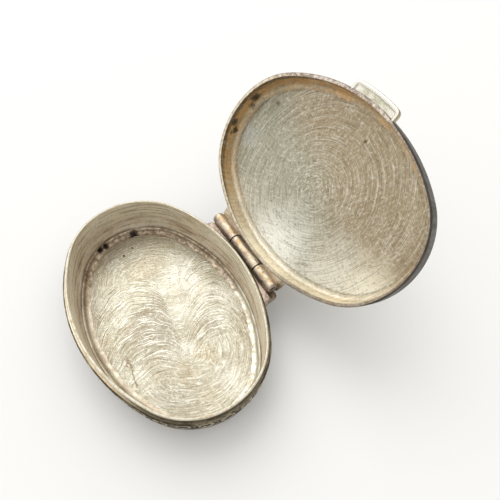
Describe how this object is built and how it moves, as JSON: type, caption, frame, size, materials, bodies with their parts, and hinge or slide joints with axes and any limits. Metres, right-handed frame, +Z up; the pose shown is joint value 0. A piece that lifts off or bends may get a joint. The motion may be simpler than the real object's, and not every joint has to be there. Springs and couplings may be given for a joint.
{
  "type": "pill box",
  "caption": "Small oval silver pill box with a collared base, a gallery border round its shoulder, a domed lid on a knuckle hinge and a thumb piece.",
  "frame": {"origin": "centre of the base's underside", "axes": "+X along the hinge axis, +Y from the front of the box towards the hinge, +Z up"},
  "size_m": [0.0412, 0.0502, 0.0313],
  "materials": {
    "silver_brushed": "satin, worked over in fine arcs",
    "silver_polished": "worn polish with warm tarnish",
    "silver_tarnished": "dark tarnish with rubbed highlights",
    "solder_seam": "rough solder, pitted"
  },
  "bodies": {
    "base": {"base_floor": "silver_brushed", "floor_solder_seam": "solder_seam", "base_wall": "silver_tarnished", "base_collar": "silver_polished", "gallery_band": "silver_tarnished", "gallery_wire_upper": "silver_polished", "gallery_wire_lower": "silver_polished", "base_hinge_leaf": "silver_tarnished", "base_knuckle": "silver_polished", "hinge_pin": "silver_polished"},
    "lid": {"lid_skirt": "silver_polished", "lid_panel": "silver_brushed", "lid_hinge_leaf": "silver_polished", "lid_knuckle_left": "silver_polished", "lid_knuckle_right": "silver_polished", "thumb_piece": "silver_polished"}
  },
  "joints": [
    {"name": "lid_hinge", "type": "hinge", "parent": "base", "child": "lid", "pos_m": [0, 0.0152, 0.0072], "axis": [1, 0, 0], "range_deg": [0, 128]}
  ]
}
